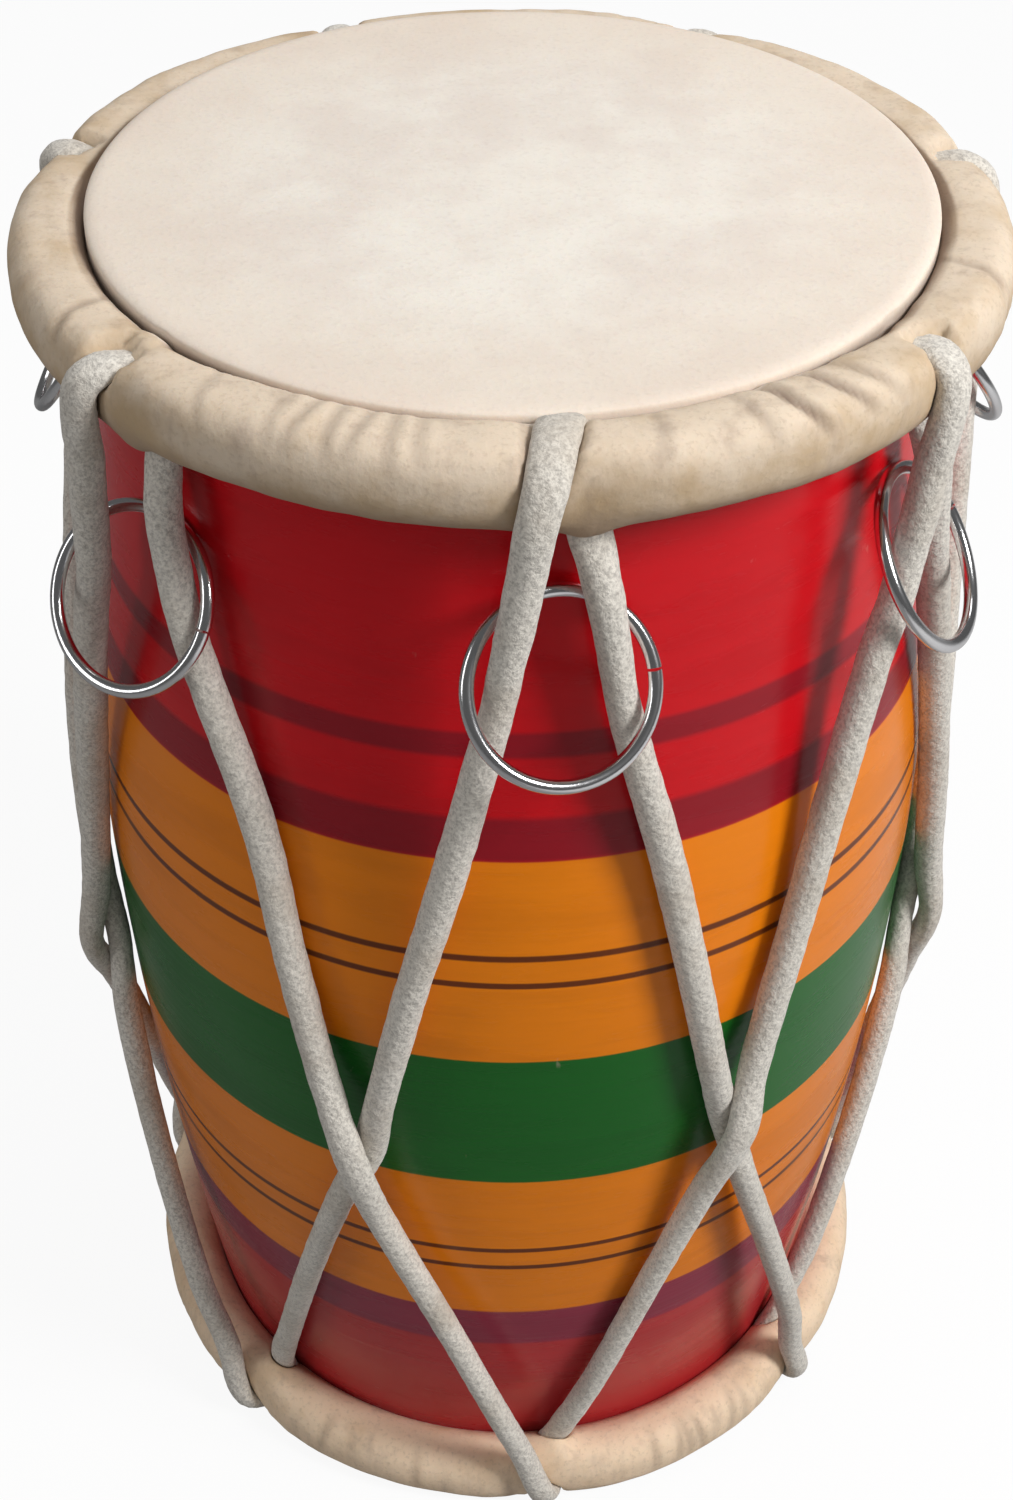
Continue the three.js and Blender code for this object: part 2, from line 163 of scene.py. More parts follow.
# %% Lists of the route
# A pass round a roll: out from the head's edge in roll widths, down from the roll's middle in half
# heights, and in cord radii the way round the edge, the half thickness and the half width. The
# last column is how much deeper it is drawn in everywhere but at the front, in half heights, and
# it comes out by a share of that.
PASS = [
    (1.023, 2.06, -1.556, 1, 1, 0),
    (1.085, 0.676, -1.237, 0.914, 1.057, 0),
    (1, -0.3, -0.878, 0.8, 1.114, 0.1),
    (0.66, -0.85, -0.519, 0.657, 1.171, 0.3),
    (0.24, -0.95, -0.199, 0.55, 1.2, 0.45),
    (-0.06, -0.84, 0.12, 0.5, 1.229, 0.5),
    (0.05, 0.25, 0.638, 0.5, 1.229, 0),
    (0.302, 1.588, 1.237, 0.8, 1.143, 0),
]
OUT_WHEN_DEEPER = 0.4
FRONT_REACH = 20
# The stretch through a ring: depth in ring depths, way round in ring radii, out from the edge in
# roll widths from over and from under the roll, half width in cord radii and share of the bow.
RING_STRETCH = [
    (0.6, 0.393, 1.008, 0.566, 1, 0),
    (0.8, 0.485, 0.977, 0.612, 0.93, 0),
    (1, 0.5685, 0.953, 0.636, 0.9, 0.1),
    (1.22, 0.694, 0.946, 0.667, 0.95, 0.6),
]
# The rest: depth as a share of the height, share of the way round to the right and to the left,
# height over the shell in cord radii for each, share of the bow, what crossing adds beside it, and
# how far the pull has thinned the cord.
LONG_STRETCH = [
    (0.2986, 0.275, 0.241, 1.23, 1.83, 1, 0, 1),
    (0.4048, 0.36, 0.335, 1.1, 1.16, 1, 0, 0.97),
    (0.511, 0.455, 0.42, 1.16, 1.1, 0.65, 0.59, 0.94),
    (0.5707, 0.513, 0.475, 1.16, 1.1, 0, 0, 0.92),
    (0.6337, 0.577, 0.558, 1.46, 1.1, 0, 0.59, 0.9),
    (0.7465, 0.725, 0.692, 2.2, 1.1, 0, 0, 0.86),
    (0.8626, 0.873, 0.832, 3.23, 1.17, 0, 0, 0.85),
]
CROSSING_ROW = 3
CROSSING = {"over": 2.63, "under": 0.886, "thick": 0.786, "wide": 1.1}
# The crossing to the right of each point of the wide head: how far it lies off the even pattern,
# in degrees to the right, in shares of the height up, and in degrees to the right just before it.
# Each row of the list above takes a share of it, and the strand that lies under takes less.
CROSSING_SHIFTS = [(-2.3, 0.014, -1.5)] + [(0, 0, 0)] * 5 + [(2, 0, 0.2)]
SHIFT_TAKEN = [0, 0, 0, 1, 0.55, 0.25, 0.1]
UNDER_TAKES = 0.25
# At the narrow end the cord is thinner, and its slant moves each station of the pass on round the
# edge, in cord radii.
NARROW_END_THINNED = 0.86
NARROW_END_SLANT = [0.45, 0.79, 0.93, 0.87, 0.7, 0.43, 0, 0]
FIRST_LACED = 5
LACED_STEP = 2


# %% Lay the route
def roll_depth(wide_end, azimuth):
    """Depth of a roll's middle under its head. The wide head's roll sags towards the back."""
    if not wide_end:
        return TREBLE_ROLL_DEPTH
    return BASS_ROLL_DEPTH + BASS_ROLL_SAG * (1 - math.cos(math.radians(azimuth))) / 2


def at_front(wide_end, azimuth):
    """Whether a place is at the wide head's front lacing, where the cord lies on the roll."""
    return wide_end and abs((azimuth + 180) % 360 - 180) < FRONT_REACH


def pass_stations(wide_end, lacing):
    """Stations of one pass: azimuth, radius, z, half thickness and half width."""
    radius = head_radius(wide_end)
    half = CORD_RADIUS * (1 if wide_end else NARROW_END_THINNED)
    stations = []
    for (out, down, way_round, thick, wide, deeper), slant in zip(PASS, NARROW_END_SLANT):
        if not at_front(wide_end, lacing):
            out, down = out + OUT_WHEN_DEEPER * deeper, down + deeper
        if not wide_end:
            way_round += slant
        depth = roll_depth(wide_end, lacing) + down * ROLL_HALF_HEIGHT
        stations.append((lacing + math.degrees(way_round * CORD_RADIUS / radius),
                         radius + out * ROLL_WIDTH, from_head(wide_end, depth),
                         thick * half, wide * half))
    return stations


def strand_stations(bass_index, treble_index, side, is_over):
    """Stations of one strand, from the wide head down to the narrow one."""
    lacing, bow = BASS_LACINGS[bass_index], BOWS[bass_index]
    way = (side * (TREBLE_LACINGS[treble_index] - lacing)) % 360
    to_right, up, before = CROSSING_SHIFTS[bass_index if side > 0 else bass_index - 1]
    if not is_over:
        to_right, before = to_right * UNDER_TAKES, before * UNDER_TAKES
    stations = []
    for depth, way_round, from_over, from_under, wide, bowed in RING_STRETCH:
        turn = math.degrees(way_round * RING_RADIUS / BASS_RADIUS) + bowed * bow
        out = from_under if side > 0 else from_over
        stations.append((lacing + side * turn, BASS_RADIUS + out * ROLL_WIDTH,
                         HEIGHT - depth * RING_DEPTH, CORD_RADIUS, wide * CORD_RADIUS))
    for row, (down, right, left, right_lift, left_lift, bowed, beside,
              thinned) in enumerate(LONG_STRETCH):
        share, lift = (right, right_lift) if side > 0 else (left, left_lift)
        crossed = row == CROSSING_ROW
        lift += beside if is_over else 0
        if crossed:
            lift = CROSSING["over"] if is_over else CROSSING["under"]
        down -= up * SHIFT_TAKEN[row]
        shift = before if row == CROSSING_ROW - 1 else to_right * SHIFT_TAKEN[row]
        stations.append((lacing + side * (share * way + bowed * bow) + shift,
                         barrel_radius(down * HEIGHT) + lift * CORD_RADIUS, HEIGHT * (1 - down),
                         CORD_RADIUS * (CROSSING["thick"] if crossed else thinned),
                         CORD_RADIUS * (CROSSING["wide"] if crossed else thinned)))
    return stations


LACING_COUNT = len(BASS_LACINGS)
LACING_ORDER = [(FIRST_LACED + i * LACED_STEP) % LACING_COUNT for i in range(LACING_COUNT)]


def right_is_over(index):
    """Whether the strand to the right of a point was laid after the one that crosses it."""
    following = (index + 1) % LACING_COUNT
    return LACING_ORDER.index(index) > LACING_ORDER.index(following)


route = []
for index in LACING_ORDER:
    low = (index + 1) % LACING_COUNT
    up = (low + 1) % LACING_COUNT
    route += pass_stations(True, BASS_LACINGS[index])
    route += strand_stations(index, low, 1, right_is_over(index))
    route += pass_stations(False, TREBLE_LACINGS[low])
    route += strand_stations(up, low, -1, not right_is_over(low))[::-1]


# %% Smooth the route
def smooth_loop(points, sizes, step):
    """Samples a smooth closed curve through the points, and their sizes with it."""
    places = []
    for i in range(len(points)):
        picks = [(i + k) % len(points) for k in (-1, 0, 1, 2)]
        p0, p1, p2, p3 = (points[k] for k in picks)
        length = (p2 - p1).length
        lead_in = (p2 - p0) * (length / (length + (p1 - p0).length))
        lead_out = (p3 - p1) * (length / (length + (p3 - p2).length))
        pieces = max(1, round(length / step))
        for j in range(pieces):
            t = j / pieces
            place = (p1 * (2 * t ** 3 - 3 * t ** 2 + 1) + p2 * (3 * t ** 2 - 2 * t ** 3)
                     + lead_in * (t ** 3 - 2 * t ** 2 + t) + lead_out * (t ** 3 - t ** 2))
            blend = t * t * (3 - 2 * t)
            size = [a + (b - a) * blend for a, b in zip(sizes[picks[1]], sizes[picks[2]])]
            places.append((place, size))
    return places


CORD_STEP = 1.7 * MM
cord_run = smooth_loop([on_azimuth(r, a, z) for a, r, z, _, _ in route],
                       [(thick, wide) for _, _, _, thick, wide in route], CORD_STEP)
cord_length = sum((cord_run[i][0] - cord_run[i - 1][0]).length for i in range(len(cord_run)))
cord_tree = kdtree.KDTree(len(cord_run))
for number, (place, _) in enumerate(cord_run):
    cord_tree.insert(place, number)
cord_tree.balance()


def neighbours(run, i, closed):
    """The places before and after a place of a run, which may be a loop."""
    after = run[(i + 1) % len(run) if closed else min(i + 1, len(run) - 1)][0]
    return run[i - 1 if closed else max(i - 1, 0)][0], after


# Normals that face off the drum, turned with the cord where it dips round a roll.
cord_normals = []
for i, (place, _) in enumerate(cord_run):
    before, after = neighbours(cord_run, i, True)
    round_axis = Vector((-place.y, place.x, 0)).normalized()
    cord_normals.append((after - before).cross(round_axis).normalized())
print("cord length in m:", round(cord_length, 2), "in", len(cord_run), "steps")


# %% [markdown]
# ## Turning a round piece
#
# The shell and the skins are round about the drum's axis. Each is begun as a circle and drawn out
# ring by ring, as on a lathe: the open edge is extruded, moved along the axis and resized to the
# next radius.

# %% Lathe helpers
def start_round(name, radius, z, sides, capped):
    """Begins a piece as a circle or a disc, with its outer edge selected in edit mode."""
    bpy.ops.mesh.primitive_circle_add(vertices=sides, radius=radius, location=(0, 0, z),
                                      fill_type="TRIFAN" if capped else "NOTHING")
    piece = bpy.context.object
    piece.name = name
    bpy.ops.object.transform_apply(location=True, rotation=True, scale=True)
    bpy.ops.object.mode_set(mode="EDIT")
    bpy.ops.mesh.select_all(action="SELECT")
    if capped:
        bpy.ops.mesh.region_to_loop()
    return piece


def draw_rings(profile):
    """Extrudes the selected edge through a list of (radius, z) points."""
    for (radius, z), (to_radius, to_z) in zip(profile, profile[1:]):
        bpy.ops.mesh.extrude_edges_move(TRANSFORM_OT_translate={"value": (0, 0, to_z - z)})
        grow = to_radius / radius
        bpy.ops.transform.resize(value=(grow, grow, 1), center_override=(0, 0, to_z))


def make_active(piece):
    """Makes a piece the only one that the next operators act on."""
    bpy.ops.object.select_all(action="DESELECT")
    piece.select_set(True)
    bpy.context.view_layer.objects.active = piece


def leave_edit(outward=True):
    """Turns the faces outward and goes back to object mode."""
    if outward:
        bpy.ops.mesh.select_all(action="SELECT")
        bpy.ops.mesh.normals_make_consistent(inside=False)
    bpy.ops.object.mode_set(mode="OBJECT")


def arc(radius, depth, size, start, end, steps):
    """Points round a circle in the half plane through the axis, as (radius, depth)."""
    turns = [math.radians(start + (end - start) * i / steps) for i in range(steps + 1)]
    return [(radius + size * math.cos(t), depth - size * math.sin(t)) for t in turns]


# %% [markdown]
# ## The shell
#
# The real shell is one block of light wood, hollowed and turned to a barrel. Its profile is drawn
# down the outside, round the narrow rim, up the inside and closed at the wide rim. A close row of
# rings keeps the long curve smooth.

# %% Turn the shell
SHELL_SIDES = 160
SHELL_RINGS = 60
RIM_ROUND = EDGE_ROUND - SKIN - CLEARANCE
INSIDE_SHARES = (0.993, 0.9, 0.8, 0.7, 0.6, 0.5, 0.4, 0.3, 0.2, 0.1, 0.007)

outside = []
for i in range(SHELL_RINGS + 1):
    depth = EDGE_ROUND + (HEIGHT - 2 * EDGE_ROUND) * i / SHELL_RINGS
    outside.append((barrel_radius(depth), depth))
wide_rim = arc(BARREL[0] - RIM_ROUND, EDGE_ROUND, RIM_ROUND, 90, 0, 4)[:-1]
narrow_rim = arc(BARREL[-1] - RIM_ROUND, HEIGHT - EDGE_ROUND, RIM_ROUND, 0, -90, 4)[1:]
inside = [(barrel_radius(share * HEIGHT) - WALL, share * HEIGHT) for share in INSIDE_SHARES]
shell_profile = [(r, HEIGHT - d) for r, d in wide_rim + outside + narrow_rim + inside]

shell = start_round("painted_shell", *shell_profile[0], SHELL_SIDES, False)
draw_rings(shell_profile)
bpy.ops.mesh.select_non_manifold(extend=False)
bpy.ops.mesh.bridge_edge_loops()
leave_edit()
bpy.ops.object.shade_smooth_by_angle(angle=math.radians(35))
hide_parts("shell")
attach(shell, "drum")
print("shell faces:", len(shell.data.polygons))

# %% [markdown]
# ## The skins
#
# A head is one wet skin, laid over the rim and rolled round a hoop, so that the roll stands round
# the head like a fat piping. When it dries the membrane is drum tight, and the roll is drawn down
# at each lacing point, where the cord sinks into it. It is turned as a smooth round first. Then
# its vertices are moved by rules: the oval of the roll, the pull of each cord, the crease that
# closes tightest at the front and beside the cords, and the lumps and pleats of dried hide.

# %% Turn a skin
SKIN_SIDES = 600
ROLL_STEPS = 46
ROLL_START = 172
ROLL_END = -125
ROLL_FOOT = 0.82
TURNED_DEPTH = 8 * MM
MEMBRANE_SHARES = (0.06, 0.3, 0.55, 0.78, 0.9, 0.94)
COLLAR_DEPTHS = (4, 5, 6, 7)


def skin_profile(wide_end):
    """The skin's outline as (radius, depth), from the middle of the membrane's face to its back."""
    radius = head_radius(wide_end)
    middle = radius + ROLL_GAP + ROLL_HALF_WIDTH
    foot = TURNED_DEPTH + ROLL_HALF_HEIGHT * ROLL_FOOT
    membrane = [(radius * share, 0) for share in MEMBRANE_SHARES]
    edge = arc(radius - EDGE_ROUND, EDGE_ROUND, EDGE_ROUND, 90, 0, 8)
    collar = [(radius + 0.02 * MM, depth * MM) for depth in COLLAR_DEPTHS]
    roll = arc(middle, TURNED_DEPTH, ROLL_HALF_WIDTH, ROLL_START, ROLL_END, ROLL_STEPS)
    on_shell = [(barrel_radius(depth if wide_end else HEIGHT - depth) + CLEARANCE, depth)
                for depth in (foot, EDGE_ROUND)]
    back = on_shell + [(radius - EDGE_ROUND, SKIN), (radius * 0.5, SKIN), (radius * 0.05, SKIN)]
    return membrane + edge + collar + roll + back


def turn_skin(name, wide_end):
    """Models the round skin, before it is shaped."""
    profile = [(r, from_head(wide_end, d)) for r, d in skin_profile(wide_end)]
    skin = start_round(name, *profile[0], SKIN_SIDES, True)
    draw_rings(profile)
    bpy.ops.mesh.merge(type="CENTER")
    leave_edit()
    return skin


# %% Shape the roll
# Each fold has its azimuth on the inner side, how far it slants to the outer side, both in
# degrees, and its depth in mm. A ridge stands beside it. FOLDS_FACE tells where round the roll's
# section the folds of the wide head and of the narrow one are deepest.
FOLD_WIDTH = 0.75
FOLD_REACH = 62
RIDGE_HEIGHT = 0.6
RIDGE_SHIFT = 1.7
# The fold at 1.7 degrees, just left of the front cord, also carries painted shade for the cord's
# shadow there.
FOLDS = [(30.5, 3, 1.1), (36.5, 3.5, 0.9), (26, 1.5, 0.4), (41, 3, 0.5), (16, -1, 0.25),
         (1.7, 0, 0.8), (-10, 1, 0.3), (-13, 1, 0.4), (-16, -1, 0.4), (-19.5, 1, 0.4),
         (-22.5, -1, 0.4), (-26, 1, 0.3), (-36, 3, 0.3), (-60, 3, 0.5), (72, -3, 0.5)]
FOLDS_FACE = {True: 80, False: -30}
LOW_FOLDS = [(23.5, 0, 0.4), (26.5, 1, 0.5), (29.5, 0, 0.45), (33, -1, 0.5), (36.5, 1, 0.5),
             (40.5, 0, 0.4), (-14, 0, 0.3), (-31, 1, 0.4)]


def pull_at(lacings, azimuth, width, shift=0.0):
    """1 at a lacing point, or beside it, falling to 0 away from it."""
    return sum(math.exp(-((((azimuth - lacing - shift + 180) % 360 - 180) / width) ** 2))
               for lacing in lacings)


def rumple(point, scale):
    """A smooth random height between -1 and 1, about one bump to a scale."""
    return noise.noise(point / scale)


def wrinkle(azimuth, around, folds, facing_up):
    """The folds that slant over the roll: how far out they stand in mm, and how deep a place is."""
    height = valley = 0.0
    reach = max(0.0, 1 - ((around - facing_up) / FOLD_REACH) ** 2)
    for start, slant, deep in folds:
        across = (azimuth - start - slant * (110 - around) / 90) / FOLD_WIDTH
        if reach > 0 and abs(across) < 5:
            bottom = reach * math.exp(-across ** 2)
            ridge = RIDGE_HEIGHT * reach * math.exp(-(across - RIDGE_SHIFT) ** 2)
            height += deep * (ridge - bottom)
            valley = max(valley, min(1, deep) * bottom)
    return height, valley


def roll_height(azimuth, around, pull, seed):
    """How far the roll's surface stands out or in from its oval, in metres."""
    place = on_azimuth(85 * MM, azimuth, 0) + Vector((0, 0, around * 0.09 * MM + seed))
    lumps = 0.5 * rumple(place, 19 * MM) + 0.17 * rumple(place, 6 * MM)
    folds_here = max(0, rumple(place + Vector((0, 0, 0.3)), 26 * MM) + 0.12 + 0.45 * pull)
    across = on_azimuth(85 * MM, azimuth + 3 * rumple(place, 9 * MM), 0)
    pleats = noise.noise(Vector((across.x, across.y, around * 0.012 * MM + seed)) / (2.1 * MM))
    along = noise.noise(Vector((across.x * 0.25, across.y * 0.25, around * 0.09 * MM)) / (1.9 * MM))
    return (lumps + 0.4 * folds_here * pleats + 0.12 * along) * MM


# The gap between skin and cord, and the hide that closes over the cord's inner end: how far
# beside it, how thick, and where it starts, in roll widths out from the edge.
CORD_GAP = 0.25 * MM
COVER_BESIDE = 5 * MM
COVER_THICK = 0.3 * MM
DIVES_FROM = 0.6
DIVES_OVER = 0.3
CORD_REACH = 2.5


def round_cord(point, middle, radius, wide_end):
    """Lays a point of the skin under the cord, or over it where the cord is drawn into the roll."""
    place, number, away = cord_tree.find(point)
    thick, wide = (half + CORD_GAP for half in cord_run[number][1])
    cover = wide + COVER_BESIDE
    if away > CORD_REACH * wide or math.hypot(point.x, point.y) < radius + 0.05 * MM:
        return point
    off = cord_normals[number]
    before, after = neighbours(cord_run, number, True)
    across = (after - before).cross(off).normalized()
    if (place - middle).dot(off) < 0:
        off = -off
    side, height = (point - place).dot(across), (point - place).dot(off)
    out = (math.hypot(place.x, place.y) - radius) / ROLL_WIDTH
    rise = place.z - middle.z if wide_end else middle.z - place.z
    azimuth = math.degrees(math.atan2(place.x, -place.y))
    drawn_in = 0.0
    if rise > 0.2 * ROLL_HALF_HEIGHT and not at_front(wide_end, azimuth):
        drawn_in = min(1, max(0, (DIVES_FROM - out) / DIVES_OVER))
    moved = height
    if abs(side) < wide:
        under = -thick * math.sqrt(1 - (side / wide) ** 2)
        if out > 0.2 or height < -under:
            moved = min(height, under)
    if drawn_in > 0 and abs(side) < cover:
        over = (thick + COVER_THICK) * (0.5 + 0.5 * math.cos(math.pi * side / cover))
        moved += drawn_in * (max(height, over) - moved)
    return point + off * (moved - height)


# In degrees: how far a cord's pull reaches, the crease it shuts and the flap that hangs beside it,
# and the front of the wide head, where the crease is shut all along.
PULL_REACH = 7
SHUT_REACH = 5.5
FLAP_REACH = 2.4
FLAP_BESIDE = 2.6
FRONT_HALF = 50
FRONT_EDGE = 5
LEAST_SHUT = 0.88
# The power of the roll's oval: 1 is an ellipse and less is fuller.
FULLNESS = 0.86
FULLER_WHEN_SHUT = 0.36
# Between the cords the roll swells. Under one it is pinched, drawn in and drawn down, and its foot
# and the flap sink by so many mm.
SWOLLEN = 0.35 * MM
PINCHED = 0.5 * MM
DRAWN_IN = 0.6 * MM
DRAWN_DOWN = 0.3 * MM
FOOT_SINKS = 1.5
FLAP_SINKS = 1.7
# Where the crease is shut the roll fills it and is taller, the membrane's edge is flatter and
# draws in, and the collar is shorter.
INNER_FILL = 1.9 * MM
TALLER = 0.5 * MM
EDGE_IN = 1.5 * MM
EDGE_FLATTER = 0.72
COLLAR_SHORTER = 0.7


def shape_skin(skin, wide_end, folds, seed):
    """Moves the vertices of the roll, the edge and the collar, then lays them round the cord."""
    radius = head_radius(wide_end)
    lacings = BASS_LACINGS if wide_end else TREBLE_LACINGS
    turned = radius + ROLL_GAP + ROLL_HALF_WIDTH
    in_fold = skin.data.attributes.new("fold", "FLOAT", "POINT")
    for vertex in skin.data.vertices:
        r = math.hypot(vertex.co.x, vertex.co.y)
        if r < radius * 0.93:
            continue
        azimuth = math.degrees(math.atan2(vertex.co.x, -vertex.co.y))
        depth = abs(vertex.co.z - from_head(wide_end, 0))
        pull = pull_at(lacings, azimuth, PULL_REACH)
        beside_cord = min(1, pull_at(lacings, azimuth, SHUT_REACH))
        flap = pull_at(lacings, azimuth, FLAP_REACH, FLAP_BESIDE)
        front = 0
        if wide_end:
            front = 1 / (1 + math.exp((abs(azimuth) - FRONT_HALF) / FRONT_EDGE))
        shut = max(front, beside_cord, LEAST_SHUT)
        out, down = r - turned, depth - TURNED_DEPTH
        around = math.degrees(math.atan2(-down, out))
        low = roll_depth(wide_end, azimuth)
        if abs(math.hypot(out, down) - ROLL_HALF_WIDTH) < 0.05 * MM and depth > 1 * MM:
            turn = math.radians(around)
            inner_top = 1 if around > 90 else 0
            full = FULLNESS - FULLER_WHEN_SHUT * shut * inner_top
            folded, valley = wrinkle(azimuth, around, folds, FOLDS_FACE[wide_end])
            # The valley's depth is kept for the painted shade in the folds.
            in_fold.data[vertex.index].value = valley
            bulge = roll_height(azimuth, around, pull, seed) + folded * MM
            grow = SWOLLEN * (1 - pull) + bulge
            wide = ROLL_HALF_WIDTH - PINCHED * pull + INNER_FILL * shut * inner_top
            high = ROLL_HALF_HEIGHT + TALLER * shut
            r = turned - DRAWN_IN * pull + math.copysign(
                (wide + grow) * abs(math.cos(turn)) ** full, math.cos(turn))
            sink = max(0, -math.sin(turn))
            depth = (low + DRAWN_DOWN * pull + (FOOT_SINKS * pull + FLAP_SINKS * flap) * MM * sink
                     - math.copysign((high + grow) * abs(math.sin(turn)) ** full, math.sin(turn)))
        elif depth < EDGE_ROUND * 1.01:
            depth *= 1 - EDGE_FLATTER * shut
            r -= EDGE_IN * shut * min(1, max(0, (r - radius * 0.935) / (radius * 0.03)))
        elif 3.5 * MM < depth < 7.5 * MM and abs(r - radius) < 0.5 * MM:
            depth = EDGE_ROUND + (depth - EDGE_ROUND) * (1 - COLLAR_SHORTER * shut)
            r -= EDGE_IN * shut
        vertex.co = on_azimuth(r, azimuth, from_head(wide_end, depth))
        middle = on_azimuth(turned, azimuth, from_head(wide_end, low))
        vertex.co = round_cord(vertex.co, middle, radius, wide_end)


def make_skin(name, node, wide_end, folds, seed):
    """Turns and shapes a skin, softens what that left, and gives it its place in the frame."""
    skin = turn_skin(name, wide_end)
    shape_skin(skin, wide_end, folds, seed)
    make_active(skin)
    soften = skin.modifiers.new("soften", "SMOOTH")
    soften.factor = 0.45
    soften.iterations = 2
    bpy.ops.object.modifier_apply(modifier=soften.name)
    bpy.ops.object.shade_smooth()
    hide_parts(node)
    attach(skin, "drum")
    print(node, "faces:", len(skin.data.polygons))
    return skin


bass_skin = make_skin("bass_head", "bass_skin", True, FOLDS, 0.0)
treble_skin = make_skin("treble_head", "treble_skin", False, LOW_FOLDS, 0.7)

# %% [markdown]
# ## The cord
#
# A cord is a tube along its route. A curve with a round bevel can't be squeezed in one direction,
# so the tube is a mesh: a ring of points at each step, wide where the cord is pressed flat. Its UV
# map holds the share of the way round in u and the length in metres in v, so that the braid can
# follow the cord. Soft yarn lies unevenly, so the surface dips a little here and there.

# %% Tube helper
CORD_SIDES = 20
UNEVEN = 0.09
UNEVEN_SCALE = 3.2 * MM


def tube_mesh(name, run, normals, closed):
    """A tube along a run of (place, (half thickness, half width)): a loop, or with ends filled."""
    sides, count = CORD_SIDES, len(run)
    vertices, faces, lengths = [], [], [0.0]
    for i, (place, (thick, wide)) in enumerate(run):
        before, after = neighbours(run, i, closed)
        along = (after - before).normalized()
        across = along.cross(normals[i]).normalized()
        out = across.cross(along)
        for side in range(sides):
            turn = math.tau * side / sides
            offset = out * math.cos(turn) * thick + across * math.sin(turn) * wide
            dip = UNEVEN * (0.5 + 0.5 * rumple(place + offset, UNEVEN_SCALE))
            vertices.append(place + offset * (1 - dip))
        lengths.append(lengths[-1] + (after - place).length)
    uvs = []
    for i in range(count if closed else count - 1):
        for side in range(sides):
            corners = [(i, side), (i, side + 1), (i + 1, side + 1), (i + 1, side)]
            faces.append([(a % count) * sides + b % sides for a, b in corners])
            uvs += [(b / sides, lengths[a]) for a, b in corners]
    mesh = bpy.data.meshes.new(name)
    mesh.from_pydata(vertices, [], faces)
    layer = mesh.uv_layers.new(name="along")
    for loop, uv in zip(layer.data, uvs):
        loop.uv = uv
    piece = bpy.data.objects.new(name, mesh)
    scene.collection.objects.link(piece)
    make_active(piece)
    bpy.ops.object.mode_set(mode="EDIT")
    if not closed:
        bpy.ops.mesh.select_non_manifold(extend=False)
        bpy.ops.mesh.fill_holes(sides=0)
    leave_edit()
    bpy.ops.object.shade_smooth()
    return piece


# %% Make the cord
cord = tube_mesh("cotton_cord", cord_run, cord_normals, True)
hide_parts("lacing_cord")
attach(cord, "drum")
print("cord faces:", len(cord.data.polygons))

# %% [markdown]
# ## The knot
#
# The cord's two ends are tied where the photograph doesn't look, at the back near the foot. One
# end is wound twice round the strand beside it and its tails are left standing.

# %% Tie the knot
KNOT_TURNS = 2
KNOT_PITCH = 6.6 * MM
KNOT_THICK = 2.9 * MM
KNOT_WIDE = 3.1 * MM
KNOT_TAIL = 16 * MM
KNOT_DEPTH = 0.855 * HEIGHT
KNOT_STEPS = 40
TAIL_SHARES = (0.3, 0.55, 0.8, 1)
TAIL_TURN = 0.12

last_laced = LACING_ORDER[-1]
knot_strand = strand_stations(last_laced, (last_laced + 1) % LACING_COUNT, 1, True)
strand_points = [on_azimuth(r, a, z) for a, r, z, _, _ in knot_strand]
lower = next(i for i, p in enumerate(strand_points) if HEIGHT - p.z > KNOT_DEPTH)
knot_along = (strand_points[lower] - strand_points[lower - 1]).normalized()
knot_centre = strand_points[lower - 1] + knot_along * (
    (strand_points[lower - 1].z - (HEIGHT - KNOT_DEPTH)) / abs(knot_along.z))
knot_out = Vector((knot_centre.x, knot_centre.y, 0)).normalized()
knot_out = (knot_out - knot_along * knot_out.dot(knot_along)).normalized()
knot_across = knot_along.cross(knot_out)
knot_coil = CORD_RADIUS + CLEARANCE * 2 + KNOT_THICK

knot_run, knot_normals = [], []


def add_knot(shift, turn, reach):
    """Adds a place on the knot: along the strand, round it and out from it."""
    normal = knot_out * math.cos(turn) + knot_across * math.sin(turn)
    knot_run.append((knot_centre + knot_along * shift + normal * reach, (KNOT_THICK, KNOT_WIDE)))
    knot_normals.append(normal)


def add_tail(way, share):
    """Adds a place on the lower tail, where way is 1, or on the upper one."""
    add_knot(way * (half_knot + KNOT_TAIL * share), -way * TAIL_TURN * share,
             knot_coil + CORD_RADIUS * share ** 2)


half_knot = KNOT_PITCH * KNOT_TURNS / 2
for share in TAIL_SHARES[::-1]:
    add_tail(-1, share)
for i in range(KNOT_STEPS * KNOT_TURNS + 1):
    turns = i / KNOT_STEPS
    add_knot(-half_knot + KNOT_PITCH * turns, math.tau * turns, knot_coil)
for share in TAIL_SHARES:
    add_tail(1, share)
knot = tube_mesh("tied_knot", knot_run, knot_normals, False)
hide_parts("cord_knot")
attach(knot, "drum")

# %% [markdown]
# ## The tuning rings
#
# Each ring is a length of steel wire bent round and butted. A torus gives the round, and a bisect
# opens the butt, whose two faces are filled. One ring is modelled, lying flat at the origin, and
# copied to each lacing point with a mesh of its own.

# %% Bend one ring
RING_BUTT = 0.25 * MM
FACET_TURN = -38

bpy.ops.mesh.primitive_torus_add(major_radius=RING_RADIUS, minor_radius=RING_WIRE,
                                 major_segments=96, minor_segments=20, location=(0, 0, 0))
ring_pattern = bpy.context.object
ring_pattern.data.transform(Matrix.Rotation(math.radians(FACET_TURN), 4, "Z"))


def select_near_butt(reach):
    """Selects the faces within a reach of the butt, in object mode."""
    for face in ring_pattern.data.polygons:
        face.select = face.center.x > 0 and abs(face.center.y) < reach


